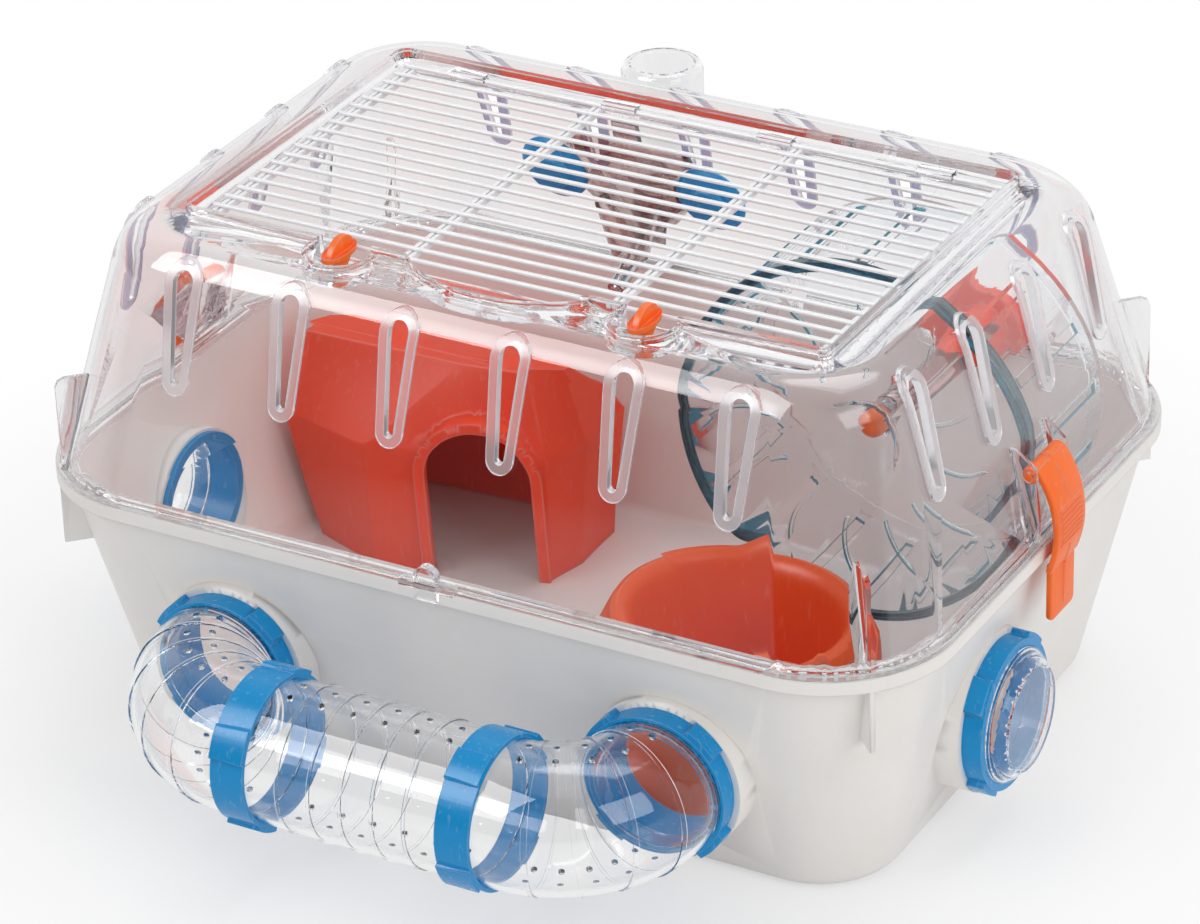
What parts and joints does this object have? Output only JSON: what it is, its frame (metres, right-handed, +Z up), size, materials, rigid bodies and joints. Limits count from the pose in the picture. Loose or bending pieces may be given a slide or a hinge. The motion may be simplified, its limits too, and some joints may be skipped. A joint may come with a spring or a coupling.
{
  "type": "two-tier hamster cage",
  "caption": "Small rodent cage: white tray, clear vented cover with wire top door, front tube run, capped side ports, house, bowl, wheel and drinker.",
  "frame": {"origin": "centre of the tray's flat base, where it stands", "axes": "+X along the long side to the right, -Y to the front with the tube run, +Z up"},
  "size_m": [0.4204, 0.3984, 0.2292],
  "materials": {
    "tray_white": "fine moulded texture",
    "clear_cover": "clear polished",
    "clear_tube": "clear polished",
    "clear_bottle": "clear polished",
    "port_blue": "glossy moulded",
    "cup_blue": "soft satin",
    "wire_white": "coated wire",
    "clip_orange": "glossy moulded",
    "house_red": "glossy, slightly translucent",
    "bowl_orange": "glossy moulded",
    "wheel_clear": "clear pale blue",
    "rim_teal": "glossy",
    "steel": "polished",
    "smoky": "smoky translucent"
  },
  "bodies": {
    "base": {"tray": "tray_white", "port_collar_front_left": "port_blue", "port_ring_front_left": "port_blue", "port_collar_front_right": "port_blue", "port_ring_front_right": "port_blue", "port_collar_side_left": "port_blue", "port_ring_side_left": "port_blue", "port_collar_side_right": "port_blue", "port_ring_side_right": "port_blue"},
    "cover": {"cover": "clear_cover", "wheel_bracket": "house_red", "wheel_axle": "steel", "axle_cap": "clip_orange", "bottle_cap": "smoky", "spout_tube": "steel", "spout_ball": "steel", "drinker_holder": "smoky", "suction_cup_left": "cup_blue", "suction_cup_right": "cup_blue"},
    "door": {"door_wires": "wire_white", "door_cross_bars": "wire_white"},
    "knob_left": {"door_knob_left": "clip_orange"},
    "knob_right": {"door_knob_right": "clip_orange"},
    "clip_left": {"side_clip_left": "clip_orange"},
    "clip_right": {"side_clip_right": "clip_orange"},
    "wheel": {"wheel_drum": "wheel_clear", "wheel_rim": "rim_teal"},
    "bottle": {"bottle": "clear_bottle"},
    "cap_left": {"port_cap_left": "clear_tube"},
    "cap_right": {"port_cap_right": "clear_tube"},
    "tube_run": {"elbow_left": "clear_tube", "elbow_right": "clear_tube", "tube_straight": "clear_tube", "coupling_left": "port_blue", "coupling_right": "port_blue"},
    "house": {"house": "house_red"},
    "bowl": {"food_bowl": "bowl_orange"}
  },
  "joints": [
    {"name": "cover_lift", "type": "slide", "parent": "base", "child": "cover", "axis": [0, 0, 1], "range_m": [0, 0.11]},
    {"name": "door_hinge", "type": "hinge", "parent": "cover", "child": "door", "pos_m": [0, 0.0815, 0.21915], "axis": [-1, 0, 0], "range_deg": [0, 100]},
    {"name": "knob_left_turn", "type": "hinge", "parent": "cover", "child": "knob_left", "pos_m": [-0.069, -0.091, 0.22], "axis": [0, 0, 1], "range_deg": [0, 90]},
    {"name": "knob_right_turn", "type": "hinge", "parent": "cover", "child": "knob_right", "pos_m": [0.069, -0.091, 0.22], "axis": [0, 0, -1], "range_deg": [0, 90]},
    {"name": "clip_left_swing", "type": "hinge", "parent": "cover", "child": "clip_left", "pos_m": [-0.19695, 0, 0.147], "axis": [0, 1, 0], "range_deg": [0, 75]},
    {"name": "clip_right_swing", "type": "hinge", "parent": "cover", "child": "clip_right", "pos_m": [0.19695, 0, 0.147], "axis": [0, -1, 0], "range_deg": [0, 75]},
    {"name": "wheel_spin", "type": "hinge", "parent": "cover", "child": "wheel", "pos_m": [0.1034, 0.02, 0.1238], "axis": [0, 1, 0], "continuous": true},
    {"name": "bottle_lift", "type": "slide", "parent": "cover", "child": "bottle", "axis": [0, 0, 1], "range_m": [0, 0.05]},
    {"name": "cap_left_pull", "type": "slide", "parent": "base", "child": "cap_left", "axis": [-1, 0, 0], "range_m": [0, 0.03]},
    {"name": "cap_right_pull", "type": "slide", "parent": "base", "child": "cap_right", "axis": [1, 0, 0], "range_m": [0, 0.03]},
    {"name": "tube_run_pull", "type": "slide", "parent": "base", "child": "tube_run", "axis": [0, -1, 0], "range_m": [0, 0.05]},
    {"name": "house_lift", "type": "slide", "parent": "base", "child": "house", "axis": [0, 0, 1], "range_m": [0, 0.05]},
    {"name": "bowl_lift", "type": "slide", "parent": "base", "child": "bowl", "axis": [0, 0, 1], "range_m": [0, 0.03]}
  ]
}
